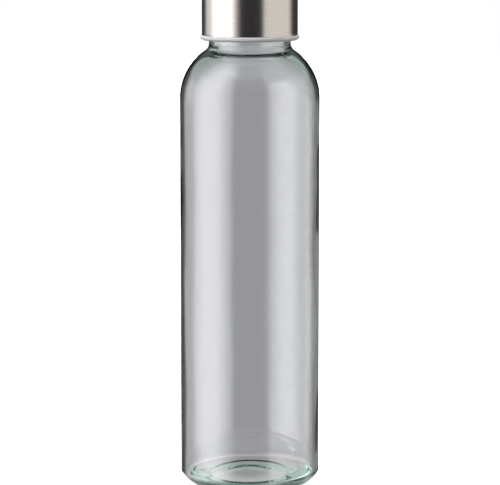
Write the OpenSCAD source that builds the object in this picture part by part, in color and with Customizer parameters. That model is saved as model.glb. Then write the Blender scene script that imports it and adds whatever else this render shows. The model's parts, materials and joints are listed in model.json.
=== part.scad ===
// Glass water bottle with a screw cap: a drawn steel shell over a threaded plastic insert and a sealing ring.
// Millimetres, +Z up, base centre at the origin, cap closed.

/* [Body] */
// Outer diameter of the glass body
body_d = 63; // [60:0.5:70]
// Height at which the straight side ends and the shoulder begins
shoulder_z = 177.6; // [120:0.1:200]
// Radius of the shoulder's curve
shoulder_r = 25.5; // [24.5:0.1:26.5]
// Glass thickness of the straight side
side_wall = 2.0; // [1.8:0.1:2.4]
// Radius between the shoulder and the neck
neck_fillet = 4; // [3.5:0.1:4.5]
// Radius inside, between the shoulder and the bore
root_fillet = 3.5; // [3:0.1:4]
// How far that inner radius sits below the outer one, which makes the glass thick at the root of the neck
root_drop = 2.3; // [1.5:0.1:3]

/* [Base] */
// Outer diameter of the flat ring the bottle stands on
foot_d = 38.4; // [37:0.1:44]
// Width of that ring
foot_land = 2.0; // [1.5:0.1:3]
// Small radius where the heel leaves the side
heel_edge_r = 1.0; // [0.8:0.1:2.5]
// Angle that the small radius turns through before the wide heel curve
heel_edge_turn = 33; // [28:1:38]
// Lowest height of the inner floor, next to the side
floor_z = 6.3; // [6:0.1:8]
// How much higher the domed inner floor is at its centre
floor_rise = 2.5; // [2:0.1:3]
// Radius between the inner floor and the side
floor_fillet = 1.7; // [1.4:0.1:3]
// Rise of the pushed-up underside at its centre
punt_h = 4.0; // [3:0.1:4.2]

/* [Neck finish] */
// Outer diameter of the neck collar
neck_d = 36.7; // [36.5:0.1:37]
// Outer diameter of the threaded wall
finish_d = 35.0; // [34.8:0.1:35.2]
// Diameter of the mouth's bore
bore_d = 30.8; // [30:0.1:31]
// Height of the neck collar's top above the bottom of the cap
collar_rise = 1.7; // [1.4:0.1:2.4]
// Radial height of the glass thread
thread_h = 1.2; // [1:0.05:1.2]
// Rise of the thread in one turn
thread_lead = 4.2; // [4.2:0.1:4.6]

/* [Cap] */
// Outer diameter of the steel shell
shell_d = 43.0; // [43:0.1:44]
// Sheet thickness of the steel shell
shell_t = 0.5; // [0.4:0.05:0.5]
// Height of the steel shell
shell_h = 27.5; // [26.5:0.5:32]
// Outer radius of the shell's top edge
shell_edge_r = 2.0; // [1.6:0.1:2.4]
// Outer diameter of the plastic rim under the shell
rim_d = 44.2; // [44:0.1:45]
// Height of that rim
rim_h = 2.1; // [1.8:0.1:3]
// Thickness of the sealing ring
gasket_t = 2.0; // [2:0.1:2.4]
// Gap between the cap's pieces and between threads that turn
run_gap = 0.3; // [0.25:0.05:0.3]

/* [Hidden] */
$fn = 120;

body_r = body_d / 2;
foot_r = foot_d / 2;
neck_r = neck_d / 2;
finish_r = finish_d / 2;
bore_r = bore_d / 2;
shell_r = shell_d / 2;
rim_r = rim_d / 2;
wall_r = body_r - side_wall;
seat_gap = 0.05;

// Shoulder and neck fillet, outside: two arcs that meet on the line through their centres.
shoulder_x = body_r - shoulder_r;
fillet_x = neck_r + neck_fillet;
fillet_z = shoulder_z + sqrt(pow(shoulder_r + neck_fillet, 2) - pow(fillet_x - shoulder_x, 2));
join_deg = atan2(fillet_z - shoulder_z, fillet_x - shoulder_x);

// The same, inside: the shoulder's radius follows from the wall and the fillet at the root of the neck.
root_x = bore_r + root_fillet;
root_z = fillet_z - root_drop;
root_dx = root_x - wall_r;
root_dz = root_z - shoulder_z;
shoulder_in_r = (pow(root_dx, 2) + pow(root_dz, 2) - pow(root_fillet, 2)) / (2 * (root_fillet - root_dx));
shoulder_in_x = wall_r - shoulder_in_r;
join_in_deg = atan2(root_dz, root_x - shoulder_in_x);

// Heel: a small arc off the side, then a wide one down to the foot ring.
heel_r = heel_edge_r + (body_r - heel_edge_r - foot_r) / cos(heel_edge_turn);
heel_z = heel_r - (heel_r - heel_edge_r) * sin(heel_edge_turn);

// Pushed-up underside: a shallow spherical cap.
punt_edge = foot_r - foot_land;
punt_r = (pow(punt_edge, 2) + pow(punt_h, 2)) / (2 * punt_h);
function punt_z(r) = punt_h - punt_r + sqrt(pow(punt_r, 2) - pow(r, 2));

// Inner floor: a shallow dome that runs into the fillet beside the wall.
gutter_x = wall_r - floor_fillet;
gutter_z = floor_z + floor_fillet;
dome_r = (pow(gutter_x, 2) + pow(floor_rise - floor_fillet, 2) - pow(floor_fillet, 2)) / (2 * floor_rise);
dome_z = floor_z + floor_rise - dome_r;
dome_deg = atan2(gutter_x, gutter_z - dome_z);

// Heights up the neck and cap.
cap_z = fillet_z + 1.45;
collar_z = cap_z + collar_rise;
lip_z = cap_z + 18.4;
lip_chamfer = 0.6;
gasket_z = lip_z + seat_gap;
deck_z = gasket_z + gasket_t + seat_gap;
deck_t = 2.0;
shell_z = cap_z + rim_h + seat_gap;
shell_top = shell_z + shell_h;
insert_top = shell_top - shell_t - 0.1;
insert_r = shell_r - shell_t - seat_gap;
insert_bore = finish_r + thread_h + run_gap;
insert_chamfer = shell_edge_r * 0.7;
rim_chamfer = [1.3, 0.7];
plug_r = bore_r - 1.3;
plug_t = 1.8;
plug_h = 4.0;

// Threads: both lie on one right-hand helix, the cap's a little lower than the glass one.
thread_z = cap_z + 6.9;
thread_offset = 1.8;
glass_thread = [2.6, 1.2];
cap_thread = [2.0, 0.9];
thread_root = 0.4;
thread_step = 7.5;
thread_fade = 45;

// Slice of a disc between two directions, for true arcs in an outline.
module slice(centre, radius, from_deg, to_deg) {
    reach = radius * 1.5;
    half = (from_deg + to_deg) / 2;
    translate(centre)
        intersection() {
            circle(r = radius);
            polygon([
                [0, 0],
                reach * [cos(from_deg), sin(from_deg)],
                reach * [cos(half), sin(half)],
                reach * [cos(to_deg), sin(to_deg)]
            ]);
        }
}

// Right-hand screw thread as one swept bar. widths = [at the root, at the crest]; its ends sink into the wall.
module thread(wall, crest, widths, z_at_zero, from_deg, to_deg) {
    out = crest > wall ? 1 : -1;
    root = wall - out * thread_root;
    hidden = wall - out * 0.1;
    steps = round((to_deg - from_deg) / thread_step);
    last = 4 * steps;
    points = [
        for (i = [0:steps])
            let (
                a = from_deg + i * thread_step,
                z = z_at_zero + thread_lead * a / 360,
                grow = min(1, (a - from_deg) / thread_fade, (to_deg - a) / thread_fade),
                tip = hidden + (crest - hidden) * grow
            )
            each [
                [root * cos(a), root * sin(a), z - widths[0] / 2],
                [tip * cos(a), tip * sin(a), z - widths[1] / 2],
                [tip * cos(a), tip * sin(a), z + widths[1] / 2],
                [root * cos(a), root * sin(a), z + widths[0] / 2]
            ]
    ];
    sides = [
        for (i = [0:steps - 1], k = [0:3])
            let (
                a = 4 * i + k,
                b = 4 * i + (k + 1) % 4
            )
            [a, b, b + 4, a + 4]
    ];
    faces = concat(sides, [[3, 2, 1, 0], [last, last + 1, last + 2, last + 3]]);
    polyhedron(points, out > 0 ? faces : [for (f = faces) [for (k = [3:-1:0]) f[k]]]);
}

// Outside outline of the glass, filled to the axis.
module glass_outside() {
    edge_c = [body_r - heel_edge_r, heel_z];
    heel_c = [foot_r, heel_r];
    difference() {
        union() {
            polygon([
                [0, 0],
                [foot_r, 0],
                edge_c + heel_edge_r * [cos(heel_edge_turn), -sin(heel_edge_turn)],
                [body_r, heel_z],
                [body_r, shoulder_z],
                [shoulder_x, shoulder_z] + shoulder_r * [cos(join_deg), sin(join_deg)],
                [neck_r, fillet_z],
                [neck_r, collar_z],
                [finish_r, collar_z + neck_r - finish_r],
                [finish_r, lip_z - lip_chamfer],
                [finish_r - lip_chamfer, lip_z],
                [0, lip_z]
            ]);
            slice(edge_c, heel_edge_r, -heel_edge_turn, 0);
            slice(heel_c, heel_r, -90, -heel_edge_turn);
            slice([shoulder_x, shoulder_z], shoulder_r, 0, join_deg);
        }
        slice([fillet_x, fillet_z], neck_fillet, 180, 180 + join_deg);
    }
}

// Inside outline of the glass: the space the drink fills, out through the mouth.
module glass_inside() {
    gutter_c = [gutter_x, gutter_z];
    difference() {
        union() {
            polygon([
                [0, floor_z],
                gutter_c - floor_fillet * [sin(dome_deg), cos(dome_deg)],
                [wall_r, gutter_z],
                [wall_r, shoulder_z],
                [shoulder_in_x, shoulder_z] + shoulder_in_r * [cos(join_in_deg), sin(join_in_deg)],
                [bore_r, root_z],
                [bore_r, lip_z - lip_chamfer],
                [bore_r + lip_chamfer, lip_z],
                [bore_r + lip_chamfer, lip_z + 1],
                [0, lip_z + 1]
            ]);
            slice(gutter_c, floor_fillet, -90 - dome_deg, 0);
            slice([shoulder_in_x, shoulder_z], shoulder_in_r, 0, join_in_deg);
        }
        slice([root_x, root_z], root_fillet, 180, 180 + join_in_deg);
        translate([0, dome_z])
            circle(r = dome_r, $fn = 1440);
    }
}

// Plain mould marks raised on the underside: a ring and three dots inside it.
module mould_marks() {
    ring_in = 8;
    ring_out = 9;
    dot_at = 4.5;
    dot_r = 0.9;
    proud = 0.3;
    sunk = 0.6;
    rotate_extrude()
        translate([ring_in, punt_z(ring_out) - proud])
            square([ring_out - ring_in, proud + sunk]);
    for (turn = [0:120:240])
        rotate([0, 0, turn])
            translate([dot_at, 0, punt_z(dot_at + dot_r) - proud])
                cylinder(r = dot_r, h = proud + sunk);
}

module glass_bottle() {
    color([0.82, 0.90, 0.87, 0.45]) {
        rotate_extrude()
            difference() {
                glass_outside();
                glass_inside();
                translate([0, punt_h - punt_r])
                    circle(r = punt_r, $fn = 720);
            }
        mould_marks();
        thread(finish_r, finish_r + thread_h, glass_thread, thread_z, 0, 600);
    }
}

module cap_shell() {
    color([0.72, 0.71, 0.69])
        rotate_extrude()
            difference() {
                union() {
                    translate([0, shell_z])
                        square([shell_r, shell_h - shell_edge_r]);
                    translate([0, shell_z])
                        square([shell_r - shell_edge_r, shell_h]);
                    slice([shell_r - shell_edge_r, shell_top - shell_edge_r], shell_edge_r, 0, 90);
                }
                translate([0, shell_z - 1])
                    square([shell_r - shell_t, shell_h + 1 - shell_edge_r]);
                translate([0, shell_z - 1])
                    square([shell_r - shell_edge_r, shell_h + 1 - shell_t]);
                slice([shell_r - shell_edge_r, shell_top - shell_edge_r], shell_edge_r - shell_t, 0, 90);
            }
}

module cap_insert() {
    rim_top = cap_z + rim_h;
    color([0.87, 0.87, 0.85]) {
        rotate_extrude()
            polygon([
                [insert_bore, cap_z],
                [rim_r - rim_chamfer[0], cap_z],
                [rim_r, cap_z + rim_chamfer[1]],
                [rim_r, rim_top],
                [insert_r, rim_top],
                [insert_r, insert_top - insert_chamfer],
                [insert_r - insert_chamfer, insert_top],
                [insert_bore, insert_top],
                [insert_bore, deck_z + deck_t],
                [0, deck_z + deck_t],
                [0, deck_z],
                [plug_r - plug_t, deck_z],
                [plug_r - plug_t, deck_z - plug_h],
                [plug_r, deck_z - plug_h],
                [plug_r, deck_z],
                [insert_bore, deck_z]
            ]);
        thread(insert_bore, finish_r + run_gap, cap_thread, thread_z - thread_offset, -60, 540);
    }
}

module gasket() {
    color([0.93, 0.93, 0.91])
        translate([0, 0, gasket_z])
            difference() {
                cylinder(r = insert_bore - 0.1, h = gasket_t);
                translate([0, 0, -1])
                    cylinder(r = plug_r + 0.1, h = gasket_t + 2);
            }
}

glass_bottle();
cap_shell();
cap_insert();
gasket();
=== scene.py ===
"""Glass water bottle with a brushed steel screw cap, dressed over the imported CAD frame. Metres, +Z up."""

import json
import math

import bpy
from mathutils import Matrix, Vector, noise


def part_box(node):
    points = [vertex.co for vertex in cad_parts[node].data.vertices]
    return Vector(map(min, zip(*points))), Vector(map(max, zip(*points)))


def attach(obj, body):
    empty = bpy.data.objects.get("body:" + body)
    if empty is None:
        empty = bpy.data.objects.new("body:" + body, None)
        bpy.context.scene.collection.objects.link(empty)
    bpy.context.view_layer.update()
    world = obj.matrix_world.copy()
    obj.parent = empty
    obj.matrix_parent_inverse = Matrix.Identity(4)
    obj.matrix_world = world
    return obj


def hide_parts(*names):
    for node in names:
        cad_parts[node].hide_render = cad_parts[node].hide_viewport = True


MM = 0.001
TURN = 2 * math.pi

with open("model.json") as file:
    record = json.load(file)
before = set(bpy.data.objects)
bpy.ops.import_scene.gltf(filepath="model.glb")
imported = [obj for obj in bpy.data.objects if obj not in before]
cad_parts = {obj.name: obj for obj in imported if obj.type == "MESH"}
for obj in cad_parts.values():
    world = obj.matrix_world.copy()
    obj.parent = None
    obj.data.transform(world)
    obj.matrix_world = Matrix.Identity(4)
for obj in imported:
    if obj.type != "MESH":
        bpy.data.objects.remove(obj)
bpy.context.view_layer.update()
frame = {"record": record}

# ---------------------------------------------------------------- places taken from the frame
GLASS_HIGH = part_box("glass_bottle")[1]
SHELL_LOW, SHELL_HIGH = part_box("cap_shell")
INSERT_LOW, INSERT_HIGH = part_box("cap_insert")
GASKET_LOW, GASKET_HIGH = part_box("gasket")
CAP_Z = INSERT_LOW.z
LIP_Z = GLASS_HIGH.z
RISE_PER_RADIAN = frame["record"]["behaviour"]["couplings"][0]["ratio"]
THREAD_LEAD = TURN * RISE_PER_RADIAN

# ---------------------------------------------------------------- sizes of the glass, as in the part's source
BODY_R = 31.5 * MM
WALL_R = 29.5 * MM            # inside of the body
SHOULDER_Z = 177.6 * MM
SHOULDER_R = 25.5 * MM
NECK_R = 18.35 * MM
NECK_FILLET = 4.0 * MM
NECK_FILLET_IN = 3.5 * MM
NECK_ROOT_DROP = 2.3 * MM     # how far the inner fillet sits below the outer one
FILLET_Z = SHOULDER_Z + math.sqrt(
    (SHOULDER_R + NECK_FILLET) ** 2 - (NECK_R + NECK_FILLET - BODY_R + SHOULDER_R) ** 2)

FOOT_R = 19.2 * MM
FOOT_LAND = 2.0 * MM          # width of the ring that the bottle stands on
PUNT_H = 4.0 * MM
HEEL_EDGE_R = 1.0 * MM
HEEL_EDGE_TURN = math.radians(33)
HEEL_R = HEEL_EDGE_R + (BODY_R - HEEL_EDGE_R - FOOT_R) / math.cos(HEEL_EDGE_TURN)
HEEL_Z = HEEL_R - (HEEL_R - HEEL_EDGE_R) * math.sin(HEEL_EDGE_TURN)

FLOOR_Z = 6.3 * MM            # lowest point of the inner floor, in the gutter round its dome
FLOOR_RISE = 2.5 * MM
FLOOR_FILLET = 1.7 * MM

COLLAR_Z = CAP_Z + 1.7 * MM
FINISH_R = 17.5 * MM
BORE_R = 15.4 * MM
LIP_STRAIGHT = 1.0 * MM       # the walls stop this far below the lip's top
THREAD_Z = CAP_Z + 6.9 * MM
THREAD_H = 1.2 * MM
NECK_THREAD_DEG = 600

# ---------------------------------------------------------------- mould marks, softer than in the source
MARK_PROUD = 0.10 * MM
MARK_RING_R = 8.5 * MM
MARK_RING_HALF = 0.75 * MM
MARK_RING_EDGE = 0.35 * MM
MARK_DOT_AT = 4.5 * MM
MARK_DOT_R = 1.15 * MM
MARK_DOT_EDGE = 0.45 * MM

# ---------------------------------------------------------------- detail that only this script adds
SEAM_ANGLE = math.radians(20)
SEAM_HALF = math.radians(1.0)
SEAM_PROUD = 0.02 * MM
SIDE_UNEVEN = 0.012 * MM
SWELL = 0.16 * MM
SWELL_FINE = 0.05 * MM
SWELL_MORE = 1.3              # how much more the wall swells towards +X
SWELL_MORE_HALF = math.radians(50)
ROOT_RIPPLE = 0.50 * MM
ROOT_RIPPLE_Z = 199.5 * MM
ROOT_RIPPLE_HALF = 6 * MM
FLOOR_RIPPLE = 0.10 * MM
FLOOR_TILT = 0.40 * MM

# ---------------------------------------------------------------- sizes of the cap
SHELL_T = 0.5 * MM
SHELL_EDGE_R = 2.0 * MM
SHELL_CUT_R = 0.16 * MM
SEAT_GAP = 0.05 * MM
INSERT_BORE = 19.0 * MM
INSERT_DECK_T = 2.0 * MM
INSERT_GAP = 0.55 * MM        # from the shell's outside in to the insert
CAP_THREAD_DROP = 1.8 * MM    # the cap's thread lies this far under the neck's
CAP_THREAD_FROM_DEG = -60
CAP_THREAD_TO_DEG = 540
PLUG_OUT = 14.1 * MM
PLUG_IN = 12.3 * MM
PLUG_H = 4.0 * MM
GASKET_IN = 14.2 * MM
GROOVE_DEPTH = 0.12 * MM
GROOVE_SLOPE = 0.4 * MM

# ---------------------------------------------------------------- how finely outlines are cut
ON_AXIS = 1e-7
SAME_POINT = 0.02 * MM
LONG_STEP = 1.6 * MM
CORNER_STEPS = 8
LIP_STEPS = 16
GLASS_SEGMENTS = 384
CAP_SEGMENTS = 256
GASKET_SEGMENTS = 192


# ---------------------------------------------------------------- outlines
def arc(centre, radius, start_deg, end_deg, steps, tag):
    """Points (r, z, tag) along an arc, both ends included."""
    points = []
    for i in range(steps + 1):
        a = math.radians(start_deg + (end_deg - start_deg) * i / steps)
        points.append((centre[0] + radius * math.cos(a), centre[1] + radius * math.sin(a), tag))
    return points


def refine(points, step):
    """Adds points so that no stretch of an outline is longer than step."""
    out = [points[0]]
    for a, b in zip(points, points[1:]):
        n = max(1, math.ceil(math.hypot(b[0] - a[0], b[1] - a[1]) / step))
        for i in range(1, n + 1):
            out.append((a[0] + (b[0] - a[0]) * i / n, a[1] + (b[1] - a[1]) * i / n, b[2]))
    return out


def smooth(x):
    """0 to 1 with soft ends."""
    x = min(1.0, max(0.0, x))
    return x * x * (3 - 2 * x)


def hump(x):
    """1 at x = 0, falling softly to 0 at x = -1 and 1."""
    return smooth(1 - abs(x))


def add_object(name, data):
    """A new object that holds the data, linked into the scene."""
    made = bpy.data.objects.new(name, data)
    bpy.context.scene.collection.objects.link(made)
    return made


def lathe(name, outline, segments, closed=False, shape=None):
    """A mesh turned from an outline of (r, z, tag).

    shape(r, z, tag, angle) may move a point to a new (r, z).
    closed joins the outline's last point to its first.
    """
    verts, faces, rings = [], [], []
    for r, z, tag in outline:
        if r < ON_AXIS:
            verts.append((0.0, 0.0, z))
            rings.append([len(verts) - 1] * segments)
            continue
        ring = []
        for i in range(segments):
            a = TURN * i / segments
            rr, zz = shape(r, z, tag, a) if shape else (r, z)
            verts.append((rr * math.cos(a), rr * math.sin(a), zz))
            ring.append(len(verts) - 1)
        rings.append(ring)
    pairs = list(zip(rings, rings[1:]))
    if closed:
        pairs.append((rings[-1], rings[0]))
    for low, high in pairs:
        for i in range(segments):
            j = (i + 1) % segments
            quad = [low[i], low[j], high[j], high[i]]
            face = [v for k, v in enumerate(quad) if v not in quad[:k]]
            faces.append(face)
    mesh = bpy.data.meshes.new(name)
    mesh.from_pydata(verts, [], faces)
    mesh.shade_smooth()
    mesh.validate()
    return add_object(name, mesh)


# ---------------------------------------------------------------- glass
def shoulder_and_fillet(wall, neck, fillet_r, fillet_z):
    """A shoulder arc that leaves the wall upright and runs smoothly into the neck's fillet.

    Returns the fillet's centre, then the arc's centre, radius and end angle in degrees.
    """
    fillet_x = neck + fillet_r
    dx = fillet_x - wall
    dz = fillet_z - SHOULDER_Z
    radius = (dx * dx + dz * dz - fillet_r * fillet_r) / (2 * (fillet_r - dx))
    centre_x = wall - radius
    join = math.degrees(math.atan2(dz, fillet_x - centre_x))
    return (fillet_x, fillet_z), (centre_x, SHOULDER_Z), radius, join


def outside():
    """From the middle of the underside, round the foot and heel, up the body and over the shoulder."""
    land = FOOT_R - FOOT_LAND
    punt_r = (land * land + PUNT_H * PUNT_H) / (2 * PUNT_H)
    punt_deg = math.degrees(math.asin(land / punt_r))
    turn = math.degrees(HEEL_EDGE_TURN)
    points = arc((0, PUNT_H - punt_r), punt_r, 90, 90 - punt_deg, 40, "under")
    points += refine([(land, 0, "foot"), (FOOT_R, 0, "foot")], 0.4 * MM)
    points += arc((FOOT_R, HEEL_R), HEEL_R, -90, -turn, 18, "heel")
    points += arc((BODY_R - HEEL_EDGE_R, HEEL_Z), HEEL_EDGE_R, -turn, 0, 6, "heel")
    points += refine([(BODY_R, HEEL_Z, "side"), (BODY_R, SHOULDER_Z, "side")], LONG_STEP)

    fillet_c, shoulder_c, shoulder_r, join = shoulder_and_fillet(BODY_R, NECK_R, NECK_FILLET, FILLET_Z)
    points += arc(shoulder_c, shoulder_r, 0, join, 36, "side")
    points += arc(fillet_c, NECK_FILLET, 180 + join, 180, 14, "side")
    return points


def neck_and_lip():
    """The plain collar, the eased step in to the threaded finish, and the rounded lip."""
    step_z = COLLAR_Z + NECK_R - FINISH_R
    points = refine([(NECK_R, FILLET_Z, "neck"), (NECK_R, COLLAR_Z - 0.3 * MM, "neck")], 0.5 * MM)
    points.append((NECK_R - 0.1 * MM, COLLAR_Z, "neck"))
    points.append((FINISH_R + 0.15 * MM, step_z - 0.1 * MM, "neck"))
    finish = [(FINISH_R, step_z + 0.2 * MM, "finish"), (FINISH_R, LIP_Z - LIP_STRAIGHT, "finish")]
    points += refine(finish, 0.16 * MM)

    lip_r = (FINISH_R - BORE_R) / 2
    lip_h = 0.8 * lip_r
    for i in range(LIP_STEPS + 1):
        a = math.pi * i / LIP_STEPS
        points.append((BORE_R + lip_r + lip_r * math.cos(a), LIP_Z - lip_h + lip_h * math.sin(a), "lip"))
    return points


def inside():
    """From the lip, down the bore and under the shoulder, to the middle of the domed floor."""
    root_z = FILLET_Z - NECK_ROOT_DROP
    fillet_c, shoulder_c, shoulder_r, join = shoulder_and_fillet(WALL_R, BORE_R, NECK_FILLET_IN, root_z)
    points = refine([(BORE_R, LIP_Z - LIP_STRAIGHT, "inner"), (BORE_R, root_z, "inner")], 1.2 * MM)
    points += arc(fillet_c, NECK_FILLET_IN, 180, 180 + join, 14, "inner")
    points += arc(shoulder_c, shoulder_r, join, 0, 36, "inner")
    points += refine([(WALL_R, SHOULDER_Z, "inner"), (WALL_R, FLOOR_Z + FLOOR_FILLET, "inner")], LONG_STEP)

    gutter = WALL_R - FLOOR_FILLET
    dome_r = (gutter ** 2 + (FLOOR_RISE - FLOOR_FILLET) ** 2 - FLOOR_FILLET ** 2) / (2 * FLOOR_RISE)
    dome_deg = math.degrees(math.asin(gutter / (dome_r + FLOOR_FILLET)))
    points += arc((gutter, FLOOR_Z + FLOOR_FILLET), FLOOR_FILLET, 0, -90 - dome_deg, 14, "inner")
    points += arc((0, FLOOR_Z + FLOOR_RISE - dome_r), dome_r, 90 - dome_deg, 90, 26, "floor")
    return points


def glass_outline():
    """Section of the glass, from the middle of the underside to the middle of the floor."""
    outline = []
    for p in outside() + neck_and_lip() + inside():
        if not outline or math.hypot(p[0] - outline[-1][0], p[1] - outline[-1][1]) > SAME_POINT:
            outline.append(p)
    return outline


def screw(z, angle, start_z, from_deg, to_deg, half_width, flank):
    """Height of a right-hand moulded thread at a point of its wall, 0 to 1.

    start_z is the thread's own height at angle 0. flank is how much of half_width is slope.
    """
    best = 0.0
    fade = math.radians(45)
    for lap in range(-1, 3):
        a = angle + TURN * lap
        ends = smooth((a - math.radians(from_deg)) / fade) * smooth((math.radians(to_deg) - a) / fade)
        centre = start_z + THREAD_LEAD * a / TURN
        across = smooth((half_width - abs(z - centre)) / flank)
        best = max(best, across * ends)
    return best


def mark(r, angle):
    """Height of the plain mould marks on the underside, 0 to 1: a ring with three dots inside it."""
    best = smooth((MARK_RING_HALF - abs(r - MARK_RING_R)) / MARK_RING_EDGE)
    x, y = r * math.cos(angle), r * math.sin(angle)
    for k in range(3):
        a = TURN * k / 3
        away = math.hypot(x - MARK_DOT_AT * math.cos(a), y - MARK_DOT_AT * math.sin(a))
        best = max(best, smooth((MARK_DOT_R - away) / MARK_DOT_EDGE))
    return best


def uneven(r, z, angle, grain, seed):
    """Slow unevenness of blown glass, -1 to 1, with no seam round the bottle."""
    spot = Vector((r * math.cos(angle) / grain, r * math.sin(angle) / grain, z / (2.2 * grain) + seed))
    return noise.noise(spot)


def floor_tilt(r, angle):
    """The inner floor sits a little askew, higher at the back and on the right."""
    return FLOOR_TILT * (math.sin(angle) + math.cos(angle)) * r / WALL_R


def outer_wall(r, z, angle):
    """The outside wall, a hair uneven, with a faint mould seam on two opposite sides."""
    seam = hump(math.remainder(angle - SEAM_ANGLE, math.pi) / SEAM_HALF)
    wave = SIDE_UNEVEN * uneven(r, z, angle, grain=16 * MM, seed=3.0)
    return r - SEAM_PROUD + wave + SEAM_PROUD * seam, z


def inner_wall(r, z, angle):
    """The inside wall, swollen by the blowing, rippled at the neck's root and tilted with the floor."""
    fade = 12 * MM
    neck_low = LIP_Z - 18 * MM
    deep = smooth((z - FLOOR_Z) / fade) * smooth((neck_low - z) / fade)
    swell = SWELL * uneven(r, z, angle, grain=24 * MM, seed=11.0)
    swell += SWELL_FINE * uneven(r, z, angle, grain=9 * MM, seed=5.0)
    swell *= deep * (1 + SWELL_MORE * hump(math.remainder(angle, TURN) / SWELL_MORE_HALF))
    spot = Vector((1.3 * math.cos(angle), 1.3 * math.sin(angle), z / (2.2 * MM)))
    ripple = ROOT_RIPPLE * hump((z - ROOT_RIPPLE_Z) / ROOT_RIPPLE_HALF) * noise.noise(spot)
    low = smooth(1 - (z - FLOOR_Z) / (16 * MM))
    return r + swell + ripple, z + floor_tilt(r, angle) * low


def inner_floor(r, z, angle):
    """The domed floor, tilted and faintly rippled."""
    ripple = FLOOR_RIPPLE * uneven(r, z, angle, grain=10 * MM, seed=8.0)
    ripple *= smooth((WALL_R - FLOOR_FILLET - r) / (6 * MM))
    return r, z + floor_tilt(r, angle) + ripple


def shape_glass(r, z, tag, angle):
    """Moulded and blown detail of the glass."""
    if tag == "finish":
        height = screw(z, angle, THREAD_Z, 0, NECK_THREAD_DEG, half_width=1.35 * MM, flank=0.85 * MM)
        return r + THREAD_H * height, z
    if tag == "under":
        return r, z - MARK_PROUD * mark(r, angle)
    if tag == "side":
        return outer_wall(r, z, angle)
    if tag == "inner":
        return inner_wall(r, z, angle)
    if tag == "floor":
        return inner_floor(r, z, angle)
    return r, z


def make_glass():
    """The bottle, as one closed skin."""
    piece = lathe("bottle_glass", glass_outline(), GLASS_SEGMENTS, shape=shape_glass)
    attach(piece, "bottle")
    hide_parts("glass_bottle")
    return piece


# ---------------------------------------------------------------- cap
def rounded(corners):
    """An outline through corners of (r, z, radius). A radius of 0 leaves its corner sharp."""
    out = []
    spots = [Vector((r, z)) for r, z, _ in corners]
    for i, (r, z, radius) in enumerate(corners):
        if radius == 0:
            out.append((r, z, "cap"))
            continue
        here = spots[i]
        a = (spots[i - 1] - here).normalized()
        b = (spots[(i + 1) % len(spots)] - here).normalized()
        half = a.angle(b) / 2
        reach = radius / math.tan(half)
        centre = here + (a + b).normalized() * (radius / math.sin(half))
        start = here + a * reach - centre
        end = here + b * reach - centre
        sweep = start.angle_signed(end)
        for k in range(CORNER_STEPS + 1):
            turned = start.copy()
            turned.rotate(Matrix.Rotation(-sweep * k / CORNER_STEPS, 2))
            out.append((centre.x + turned.x, centre.y + turned.y, "cap"))
    return out


def make_shell():
    """Drawn steel cover: flat top, rolled top edge, thin open bottom edge."""
    r = SHELL_HIGH.x
    low, top = SHELL_LOW.z, SHELL_HIGH.z
    outline = rounded([
        (0, top, 0),
        (r, top, SHELL_EDGE_R),
        (r, low, SHELL_CUT_R),
        (r - SHELL_T, low, SHELL_CUT_R),
        (r - SHELL_T, top - SHELL_T, SHELL_EDGE_R - SHELL_T),
        (0, top - SHELL_T, 0),
    ])
    piece = lathe("cap_steel_shell", refine(outline, 1.2 * MM), CAP_SEGMENTS)
    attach(piece, "cap")
    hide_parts("cap_shell")
    return piece


def shape_insert(r, z, tag, angle):
    """The thread moulded inside the insert's skirt."""
    if abs(r - INSERT_BORE) > 0.01 * MM or z > GASKET_LOW.z:
        return r, z
    start_z = THREAD_Z - CAP_THREAD_DROP
    height = screw(z, angle, start_z, CAP_THREAD_FROM_DEG, CAP_THREAD_TO_DEG,
                   half_width=1.0 * MM, flank=0.55 * MM)
    return r - THREAD_H * height, z


def make_insert():
    """Threaded plastic insert, with the rim that shows under the steel."""
    rim_r = INSERT_HIGH.x
    low, top = INSERT_LOW.z, INSERT_HIGH.z
    body = SHELL_HIGH.x - INSERT_GAP
    deck = GASKET_HIGH.z + SEAT_GAP
    deck_top = deck + INSERT_DECK_T
    rim_top = SHELL_LOW.z - SEAT_GAP
    outline = rounded([
        (0, deck_top, 0),
        (INSERT_BORE, deck_top, 0),
        (INSERT_BORE, top, 0),
        (body, top, 1.4 * MM),
        (body, rim_top, 0),
        (rim_r, rim_top, 0.35 * MM),
        (rim_r, low + 0.7 * MM, 0.6 * MM),
        (rim_r - 1.3 * MM, low, 0.8 * MM),
        (INSERT_BORE, low, 0.3 * MM),
        (INSERT_BORE, deck, 0),
        (PLUG_OUT, deck, 0),
        (PLUG_OUT, deck - PLUG_H, 0.4 * MM),
        (PLUG_IN, deck - PLUG_H, 0.4 * MM),
        (PLUG_IN, deck, 0),
        (0, deck, 0),
    ])
    piece = lathe("cap_plastic_insert", refine(outline, 0.25 * MM), CAP_SEGMENTS, shape=shape_insert)
    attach(piece, "cap")
    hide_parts("cap_insert")
    return piece


def make_gasket():
    """Flat sealing ring with soft edges and the groove that the glass lip presses into it."""
    outer = GASKET_HIGH.x
    low, top = GASKET_LOW.z, GASKET_HIGH.z
    soft = 0.35 * MM
    outline = rounded([
        (GASKET_IN, top, soft),
        (outer, top, soft),
        (outer, low, soft),
        (FINISH_R, low, 0),
        (FINISH_R - GROOVE_SLOPE, low + GROOVE_DEPTH, 0),
        (BORE_R + GROOVE_SLOPE, low + GROOVE_DEPTH, 0),
        (BORE_R, low, 0),
        (GASKET_IN, low, soft),
    ])
    outline = refine(outline + outline[:1], 0.4 * MM)[:-1]
    piece = lathe("sealing_ring", outline, GASKET_SEGMENTS, closed=True)
    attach(piece, "seal")
    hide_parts("gasket")
    return piece


# ---------------------------------------------------------------- materials
def set_sockets(node, values):
    """Sets a node's sockets by name."""
    for name, value in values.items():
        node.inputs[name].default_value = value


def grey(value):
    """An opaque colour with equal red, green and blue."""
    return (value, value, value, 1)


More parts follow.
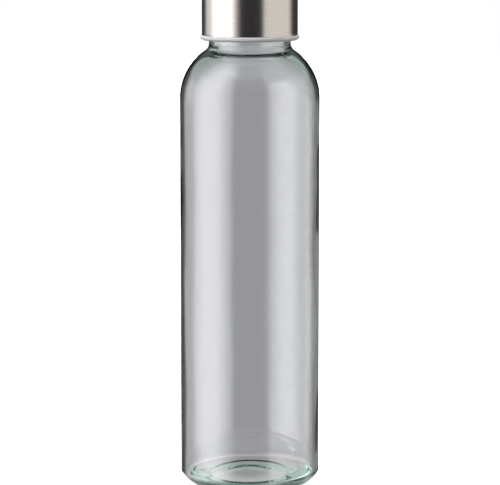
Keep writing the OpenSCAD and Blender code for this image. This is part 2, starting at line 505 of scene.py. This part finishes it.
class Graph:
    """Short calls for building a node tree. A value may be a number, a colour or another node's output."""

    def __init__(self, tree):
        self.nodes = tree.nodes
        self.links = tree.links

    def put(self, socket, value):
        if hasattr(value, "is_output"):
            self.links.new(value, socket)
        else:
            socket.default_value = value

    def math(self, operation, a, b=0.0):
        node = self.nodes.new("ShaderNodeMath")
        node.operation = operation
        self.put(node.inputs[0], a)
        self.put(node.inputs[1], b)
        return node.outputs[0]

    def step(self, x, start, end):
        """0 before start, 1 after end, soft between. start may be above end."""
        node = self.nodes.new("ShaderNodeMapRange")
        node.interpolation_type = "SMOOTHSTEP"
        self.put(node.inputs["Value"], x)
        set_sockets(node, {"From Min": start, "From Max": end})
        return node.outputs["Result"]

    def spread(self, x, low, high):
        """0 to 1 becomes low to high."""
        node = self.nodes.new("ShaderNodeMapRange")
        self.put(node.inputs["Value"], x)
        set_sockets(node, {"To Min": low, "To Max": high})
        return node.outputs["Result"]

    def mix(self, factor, a, b):
        node = self.nodes.new("ShaderNodeMix")
        node.data_type = "RGBA"
        self.put(node.inputs["Factor"], factor)
        self.put(node.inputs["A"], a)
        self.put(node.inputs["B"], b)
        return node.outputs["Result"]

    def place(self):
        """The point's place on its object, in metres."""
        return self.nodes.new("ShaderNodeTexCoord").outputs["Object"]

    def grain(self, place, scale, detail, roughness=0.5):
        node = self.nodes.new("ShaderNodeTexNoise")
        self.put(node.inputs["Vector"], place)
        set_sockets(node, {"Scale": scale, "Detail": detail, "Roughness": roughness})
        return node.outputs["Fac"]

    def bump(self, height, strength, distance):
        node = self.nodes.new("ShaderNodeBump")
        self.put(node.inputs["Height"], height)
        set_sockets(node, {"Strength": strength, "Distance": distance})
        return node.outputs["Normal"]


def new_material(name):
    """A material, the calls that build its nodes, and its shader."""
    material = bpy.data.materials.new(name)
    material.use_nodes = True
    tree = material.node_tree
    return material, Graph(tree), tree.nodes["Principled BSDF"]


def surface_socket(material):
    return material.node_tree.nodes["Material Output"].inputs["Surface"]


def glass_material():
    """Clear soda-lime glass, green where it is thick, with the faintest waviness."""
    material, g, shader = new_material("clear_glass")
    set_sockets(shader, {"Base Color": grey(1.0), "Roughness": 0.0, "IOR": 1.52, "Transmission Weight": 1.0})
    absorb = g.nodes.new("ShaderNodeVolumeAbsorption")
    set_sockets(absorb, {"Color": (0.52, 0.90, 0.79, 1), "Density": 24.0})
    g.links.new(absorb.outputs[0], g.nodes["Material Output"].inputs["Volume"])
    waves = g.grain(g.place(), scale=40.0, detail=0.0)
    g.put(shader.inputs["Normal"], g.bump(waves, strength=0.02, distance=0.5 * MM))
    return material


def steel_material():
    """Stainless steel brushed round the side and in circles on the top."""
    along, across = 60.0, 5000.0
    material, g, shader = new_material("brushed_steel")
    parts = g.nodes.new("ShaderNodeSeparateXYZ")
    g.put(parts.inputs[0], g.place())
    x, y, z = parts.outputs
    out = g.math("SQRT", g.math("ADD", g.math("MULTIPLY", x, x), g.math("MULTIPLY", y, y)))
    stretched = g.nodes.new("ShaderNodeCombineXYZ")
    g.put(stretched.inputs[0], g.math("MULTIPLY", x, along))
    g.put(stretched.inputs[1], g.math("MULTIPLY", y, along))
    g.put(stretched.inputs[2], g.math("MULTIPLY", g.math("SUBTRACT", out, z), across))
    lines = g.grain(stretched.outputs[0], scale=1.0, detail=4.0, roughness=0.7)
    colour = g.mix(g.step(lines, 0.25, 0.75), (0.45, 0.43, 0.405, 1), (0.53, 0.508, 0.48, 1))
    g.put(shader.inputs["Base Color"], colour)
    g.put(shader.inputs["Roughness"], g.spread(lines, 0.10, 0.16))
    g.put(shader.inputs["Normal"], g.bump(lines, strength=0.25, distance=0.03 * MM))
    tangent = g.nodes.new("ShaderNodeTangent")
    tangent.direction_type = "RADIAL"
    tangent.axis = "Z"
    g.put(shader.inputs["Tangent"], tangent.outputs["Tangent"])
    set_sockets(shader, {"Metallic": 1.0, "Anisotropic": 0.9})
    return material


def plastic_material():
    """Pale satin polypropylene, faintly mottled, with fine moulding grain."""
    material, g, shader = new_material("pale_plastic")
    place = g.place()
    mottle = g.grain(place, scale=90.0, detail=3.0)
    fine = g.grain(place, scale=2600.0, detail=2.0)
    colour = g.mix(g.step(mottle, 0.3, 0.7), (0.60, 0.595, 0.58, 1), (0.68, 0.675, 0.66, 1))
    g.put(shader.inputs["Base Color"], colour)
    g.put(shader.inputs["Roughness"], g.spread(mottle, 0.32, 0.50))
    g.put(shader.inputs["Normal"], g.bump(fine, strength=0.2, distance=0.04 * MM))
    set_sockets(shader, {"Subsurface Weight": 0.12, "Subsurface Scale": 1.0 * MM})
    return material


def silicone_material():
    """Soft white silicone with a dusty sheen."""
    material, g, shader = new_material("silicone")
    dust = g.grain(g.place(), scale=400.0, detail=4.0)
    g.put(shader.inputs["Base Color"], g.mix(dust, (0.70, 0.70, 0.68, 1), (0.80, 0.80, 0.78, 1)))
    g.put(shader.inputs["Normal"], g.bump(dust, strength=0.15, distance=0.05 * MM))
    set_sockets(shader, {"Roughness": 0.55, "Sheen Weight": 0.2})
    set_sockets(shader, {"Subsurface Weight": 0.2, "Subsurface Scale": 1.0 * MM})
    return material


def paint(piece, material):
    piece.data.materials.clear()
    piece.data.materials.append(material)


# ---------------------------------------------------------------- studio
# Light colours, where the camera sees 1 as white.
LEFT_BOX = (4.2, 4.1, 4.2, 1)
LEFT_TAIL = (1.1, 1.08, 1.1, 1)
LEFT_TAIL_LOW = grey(0.50)
RIGHT_BOX = (1.22, 1.17, 1.14, 1)
FRONT_WALL = (0.05, 0.05, 0.052, 1)
FRONT_WALL_HIGH = grey(0.22)
BACK_WALL_LOW = grey(0.20)
UPPER_BACK = (0.34, 0.44, 0.39, 1)
BEHIND_GLASS = (0.360, 0.350, 0.376, 1)
# Glow of the sheet under the bottle: painted light standing in for the lit table, with a painted contact
# shadow in its middle.
TABLE_PAINTED_SHADOW = (0.30, 0.275, 0.29, 1)
TABLE_PAINTED_LIGHT = (0.535, 0.465, 0.50, 1)


def softbox(g, azimuth, z, rise, fall, low=(-0.75, -0.40), high=(1.0, 0.88)):
    """Soft-edged patch of light: rise and fall are azimuths in degrees, low and high are z-directions."""
    across = g.math("MULTIPLY", g.step(azimuth, *rise), g.step(azimuth, *fall))
    upright = g.math("MULTIPLY", g.step(z, *low), g.step(z, *high))
    return g.math("MULTIPLY", across, upright)


def studio_light(g, azimuth, z):
    """What the steel and the glass reflect: two tall soft boxes, with dark and grey studio between them."""
    off_axis = g.math("ABSOLUTE", azimuth)
    below = g.step(z, -0.06, -0.10)
    behind = g.math("MULTIPLY", g.step(off_axis, 100, 150), below)
    front = g.mix(g.step(z, 0.32, 0.55), FRONT_WALL, FRONT_WALL_HIGH)
    light = g.mix(behind, front, BACK_WALL_LOW)

    gap = softbox(g, azimuth, z, rise=(-142, -149), fall=(-165, -157))
    light = g.mix(gap, light, grey(0.01))
    left_tail = softbox(g, azimuth, z, rise=(-100, -120), fall=(-146, -128))
    light = g.mix(left_tail, light, g.mix(below, LEFT_TAIL, LEFT_TAIL_LOW))
    right = softbox(g, azimuth, z, rise=(28, 38), fall=(132, 112))
    light = g.mix(right, light, RIGHT_BOX)
    left = softbox(g, azimuth, z, rise=(-20, -66), fall=(-124, -74))
    light = g.mix(left, light, LEFT_BOX)

    flags = g.math("MAXIMUM", g.step(azimuth, -122, -136), g.step(azimuth, 104, 122))
    flags = g.math("MULTIPLY", flags, g.step(z, -0.10, -0.06))
    light = g.mix(g.math("MULTIPLY", flags, 0.8), light, grey(0.05))
    upper_back = g.math("MULTIPLY", g.step(off_axis, 95, 130), g.step(z, 0.22, 0.40))
    light = g.mix(upper_back, light, UPPER_BACK)
    light = g.mix(g.step(z, 0.93, 0.99), light, grey(0.5))
    return g.mix(g.step(z, -0.55, -0.80), light, grey(0.8))


def soft_light(g, azimuth, z, studio, in_glass):
    """What matt surfaces gather: half the studio under a bright ceiling, and more through glass."""
    light = g.mix(0.5, grey(0.0), studio)
    ceiling = g.mix(g.step(azimuth, -60, 40), grey(4.4), grey(2.5))
    light = g.mix(g.step(z, 0.60, 0.75), light, ceiling)
    light = g.mix(g.step(z, -0.20, -0.50), light, grey(0.25))
    return g.mix(g.math("MULTIPLY", in_glass, 0.6), light, grey(2.0))


def make_world():
    """Studio light by direction and by kind of ray.

    Azimuth 0 is behind the front camera, and grows towards +X.
    """
    world = bpy.data.worlds.new("studio")
    bpy.context.scene.world = world
    world.use_nodes = True
    world.node_tree.nodes.clear()
    g = Graph(world.node_tree)
    parts = g.nodes.new("ShaderNodeSeparateXYZ")
    g.put(parts.inputs[0], g.nodes.new("ShaderNodeTexCoord").outputs["Generated"])
    x, y, z = parts.outputs
    azimuth = g.math("MULTIPLY", g.math("ARCTAN2", x, g.math("MULTIPLY", y, -1.0)), 180 / math.pi)
    path = g.nodes.new("ShaderNodeLightPath").outputs
    in_glass = g.math("GREATER_THAN", path["Transmission Depth"], 0.5)
    reflected = g.math("GREATER_THAN", path["Glossy Depth"], 0.5)
    scattered = g.math("GREATER_THAN", path["Diffuse Depth"], 0.5)

    studio = studio_light(g, azimuth, z)
    light = g.mix(scattered, studio, soft_light(g, azimuth, z, studio, in_glass))
    trapped = g.math("MULTIPLY", in_glass, reflected)
    light = g.mix(g.math("MULTIPLY", trapped, 0.05), light, grey(1.2))

    bounces = g.math("ADD", path["Glossy Depth"], path["Diffuse Depth"])
    through = g.math("MULTIPLY", path["Is Transmission Ray"], g.math("LESS_THAN", bounces, 0.5))
    light = g.mix(through, light, BEHIND_GLASS)
    light = g.mix(path["Is Camera Ray"], light, grey(1.0))

    shine = g.nodes.new("ShaderNodeBackground")
    g.put(shine.inputs["Color"], light)
    world_output = g.nodes.new("ShaderNodeOutputWorld")
    g.put(world_output.inputs["Surface"], shine.outputs[0])


def flat_sheet(name, rim):
    """A flat face whose corners are the points of rim."""
    mesh = bpy.data.meshes.new(name)
    mesh.from_pydata(rim, [], [tuple(range(len(rim)))])
    return add_object(name, mesh)


def make_floor():
    """A pale floor that only the camera sees, and only from above."""
    half = 3.0
    floor = flat_sheet("floor", [(-half, -half, 0), (half, -half, 0), (half, half, 0), (-half, half, 0)])
    material, g, shader = new_material("pale_floor")
    set_sockets(shader, {"Base Color": grey(0.9), "Roughness": 0.9})
    set_sockets(shader, {"Emission Color": grey(1.0), "Emission Strength": 0.55})
    one_sided = g.nodes.new("ShaderNodeMixShader")
    g.put(one_sided.inputs[0], g.nodes.new("ShaderNodeNewGeometry").outputs["Backfacing"])
    g.put(one_sided.inputs[1], shader.outputs[0])
    g.put(one_sided.inputs[2], g.nodes.new("ShaderNodeBsdfTransparent").outputs[0])
    g.put(surface_socket(material), one_sided.outputs[0])
    paint(floor, material)
    floor.visible_transmission = False
    floor.visible_glossy = False
    floor.visible_diffuse = False


def make_glowing_table_patch():
    """A glowing sheet under the bottle which shows only through the glass: painted light standing in for the
    lit table, darker in the middle with a painted contact shadow.
    """
    radius, drop, sides = 42.0 * MM, 0.05 * MM, 96
    rim = []
    for i in range(sides):
        a = TURN * i / sides
        rim.append((radius * math.cos(a), radius * math.sin(a), -drop))
    patch = flat_sheet("glowing_table_patch", rim)
    material, g, shader = new_material("table_painted_light")
    set_sockets(shader, {"Base Color": grey(0), "Emission Strength": 1.0})
    away = g.nodes.new("ShaderNodeVectorMath")
    away.operation = "LENGTH"
    g.put(away.inputs[0], g.place())
    # painted contact shadow: the glow darkens inside 14 mm of the middle and is darkest within 5 mm
    shade = g.step(away.outputs["Value"], 5 * MM, 14 * MM)
    g.put(shader.inputs["Emission Color"], g.mix(shade, TABLE_PAINTED_SHADOW, TABLE_PAINTED_LIGHT))
    paint(patch, material)
    patch.visible_camera = False
    patch.visible_diffuse = False
    patch.visible_shadow = False


def make_camera():
    """A long lens in front of the bottle, looking a little down."""
    look_down_deg = 8.082
    data = bpy.data.cameras.new("camera")
    data.sensor_width = 36.0
    data.lens = 176.33
    data.clip_start = 0.05
    data.clip_end = 20.0
    camera = add_object("camera", data)
    camera.location = (0.00009, -1.1, 0.268)
    camera.rotation_euler = (math.radians(90 - look_down_deg), 0.0, 0.0)
    bpy.context.scene.camera = camera


# ---------------------------------------------------------------- assembly
make_camera()
make_world()
make_floor()
make_glowing_table_patch()
paint(make_glass(), glass_material())
paint(make_shell(), steel_material())
paint(make_insert(), plastic_material())
paint(make_gasket(), silicone_material())
bpy.context.scene.view_settings.view_transform = "Standard"
